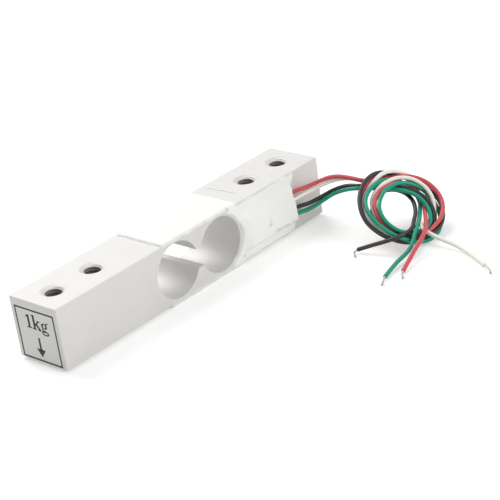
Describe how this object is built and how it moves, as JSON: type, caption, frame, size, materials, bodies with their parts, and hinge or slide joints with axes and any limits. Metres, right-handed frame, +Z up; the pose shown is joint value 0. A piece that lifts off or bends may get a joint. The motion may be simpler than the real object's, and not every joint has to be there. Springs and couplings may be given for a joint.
{
  "type": "single point load cell",
  "caption": "Single point load cell: an aluminium bending bar with a double round cut-out, strain gauges under white silicone and four thin colour-coded leads.",
  "frame": {"origin": "centre of the two bolt holes at the fixed end, on the bar's underside", "axes": "+X along the bar away from the load end; +Y away from the wired side; +Z up, against the load"},
  "size_m": [0.0846, 0.0599, 0.0137],
  "materials": {
    "bar": "fine bead-blasted, clear anodised",
    "silicone": "white room-temperature-curing silicone, satin",
    "board": "glass-epoxy board",
    "gauge": "polyimide foil",
    "ribbon": "copper foil",
    "solder": "bright solder",
    "tinned": "tinned copper strands",
    "lead_green": "soft insulation, slightly glossy",
    "lead_black": "soft insulation, slightly glossy",
    "lead_white": "soft insulation, slightly glossy",
    "lead_red": "soft insulation, slightly glossy"
  },
  "bodies": {
    "root": {"beam": "bar", "silicone_cover": "silicone", "terminal_board": "board", "gauge_top_load": "gauge", "gauge_top_fixed": "gauge", "gauge_bottom_load": "gauge", "gauge_bottom_fixed": "gauge", "ribbon_top_plus": "ribbon", "ribbon_top_signal": "ribbon", "ribbon_top_minus": "ribbon", "ribbon_bottom_plus": "ribbon", "ribbon_bottom_signal": "ribbon", "ribbon_bottom_minus": "ribbon", "solder_green": "solder", "solder_black": "solder", "solder_white": "solder", "solder_red": "solder", "lead_green_run": "lead_green", "lead_green_tail": "lead_green", "lead_green_end": "tinned", "lead_black_run": "lead_black", "lead_black_tail": "lead_black", "lead_black_end": "tinned", "lead_white_run": "lead_white", "lead_white_tail": "lead_white", "lead_white_end": "tinned", "lead_red_run": "lead_red", "lead_red_tail": "lead_red", "lead_red_end": "tinned", "lead_coil": "lead_green"}
  },
  "joints": []
}
